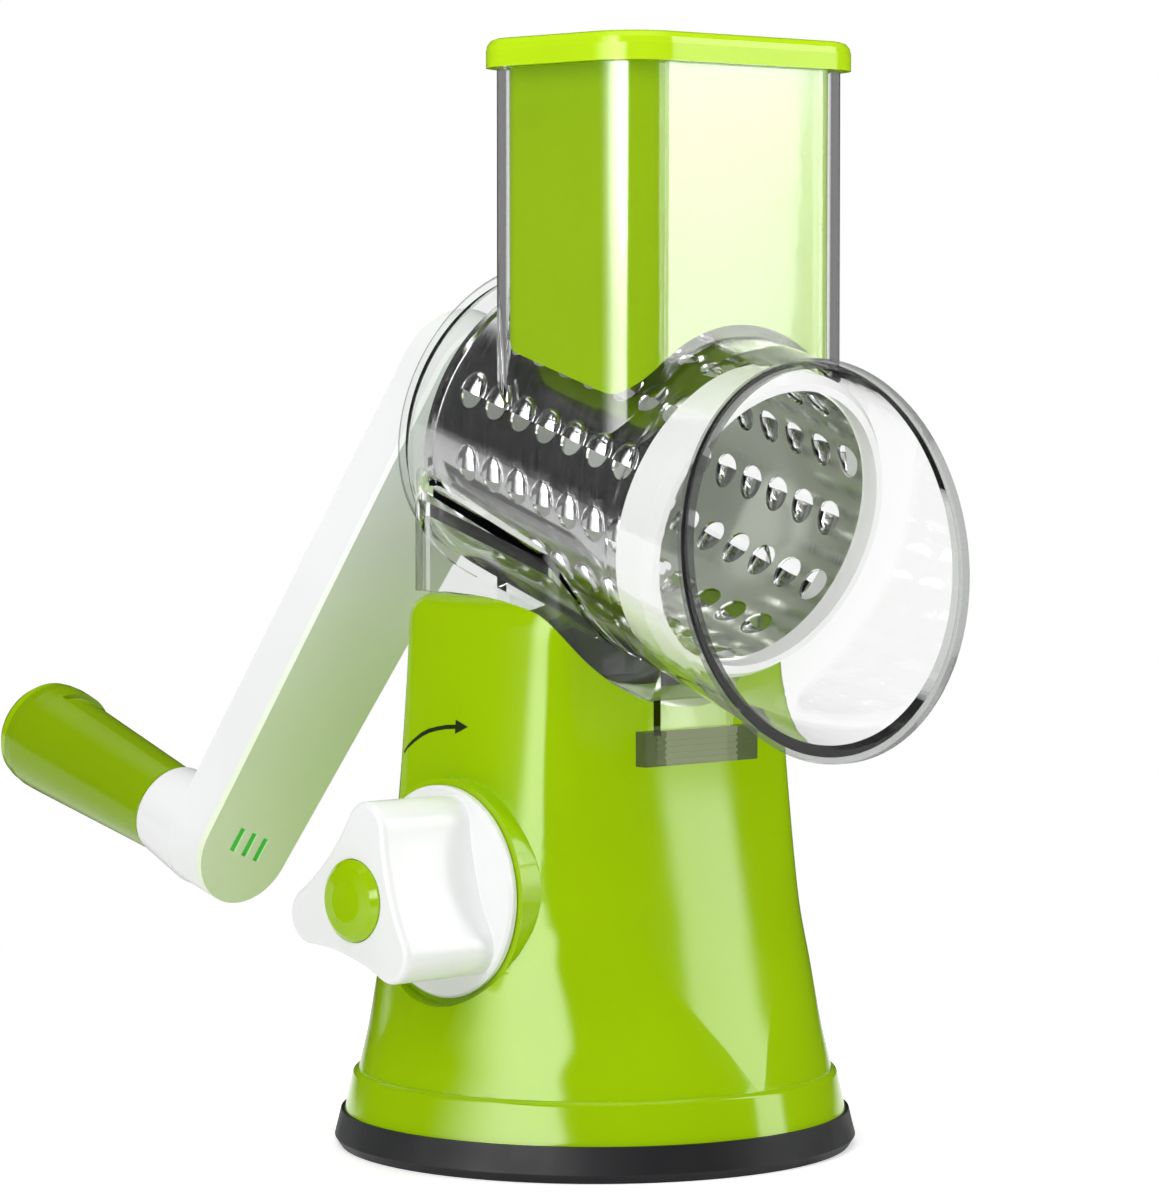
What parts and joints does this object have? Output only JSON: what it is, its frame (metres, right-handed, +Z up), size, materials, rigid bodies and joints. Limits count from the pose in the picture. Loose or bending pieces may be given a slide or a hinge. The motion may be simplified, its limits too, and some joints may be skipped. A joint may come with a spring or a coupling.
{
  "type": "rotary food shredder",
  "caption": "Hand-cranked rotary vegetable shredder with perforated drum, feed chute with pusher and lever-free suction base.",
  "frame": {"origin": "centre of the base on the table", "axes": "+Z up; the drum axis lies in the YZ plane with its mouth toward -Y; the suction knob is on the -X side"},
  "size_m": [0.1464, 0.2549, 0.2722],
  "materials": {
    "green_plastic": "glossy apple green",
    "lid_green_plastic": "glossy bright green",
    "pale_green_plastic": "satin pale green",
    "bright_green_plastic": "glossy bright green",
    "white_plastic": "glossy white",
    "clear_plastic": "clear, polished",
    "rubber_grey": "matte dark grey rubber",
    "steel": "plain bright steel",
    "polished_steel": "polished perforated sheet"
  },
  "bodies": {
    "base": {"suction_pad": "rubber_grey", "clamp_plate": "white_plastic", "guide_cup": "white_plastic", "base_screws": "steel", "base_shell": "green_plastic", "pocket_insert": "green_plastic", "knob_bush": "white_plastic", "bearing_block": "white_plastic", "lift_spring": "steel"},
    "knob": {"knob_shaft": "white_plastic", "lift_cam": "white_plastic", "knob_grip": "white_plastic", "knob_disc": "white_plastic", "knob_screw": "steel", "knob_cap": "green_plastic"},
    "lifter": {"pad_lifter": "white_plastic"},
    "housing": {"housing": "clear_plastic", "release_tab": "clear_plastic", "rear_bush": "white_plastic"},
    "crank": {"crank_arm": "white_plastic", "crank_cover": "pale_green_plastic", "slit_inlay": "bright_green_plastic", "crank_shaft": "white_plastic", "shaft_screw": "steel", "grip_spindle": "steel"},
    "grip": {"grip": "green_plastic", "grip_cap": "green_plastic"},
    "drum": {"drum_sleeve": "polished_steel", "drum_front_ring": "white_plastic", "drum_rear_hub": "white_plastic", "drum_rim": "polished_steel"},
    "pusher": {"pusher_body": "green_plastic", "pusher_lid": "lid_green_plastic"}
  },
  "joints": [
    {"name": "knob_turn", "type": "hinge", "parent": "base", "child": "knob", "pos_m": [0, 0, 0.06625], "axis": [1, 0, 0], "range_deg": [0, 180]},
    {"name": "pad_lift", "type": "slide", "parent": "base", "child": "lifter", "axis": [0, 0, 1], "range_m": [0, 0.006], "deforming": ["lift_spring"]},
    {"name": "housing_lift", "type": "slide", "parent": "base", "child": "housing", "axis": [0, 0, 1], "range_m": [0, 0.12]},
    {"name": "pusher_lift", "type": "slide", "parent": "housing", "child": "pusher", "axis": [0, 0, 1], "range_m": [0, 0.11]},
    {"name": "crank_spin", "type": "hinge", "parent": "housing", "child": "crank", "pos_m": [0, 0, 0.1733], "axis": [0, 0.9563, 0.2924], "continuous": true},
    {"name": "grip_spin", "type": "hinge", "parent": "crank", "child": "grip", "pos_m": [-0.05096, 0.13107, 0.08661], "axis": [0, 0.9563, 0.2924], "continuous": true},
    {"name": "drum_pull", "type": "slide", "parent": "crank", "child": "drum", "axis": [0, -0.9563, -0.2924], "range_m": [0, 0.12]}
  ],
  "couplings": [
    {"joint": "knob_turn", "follows": "pad_lift", "rad_per_m": 523.5}
  ]
}
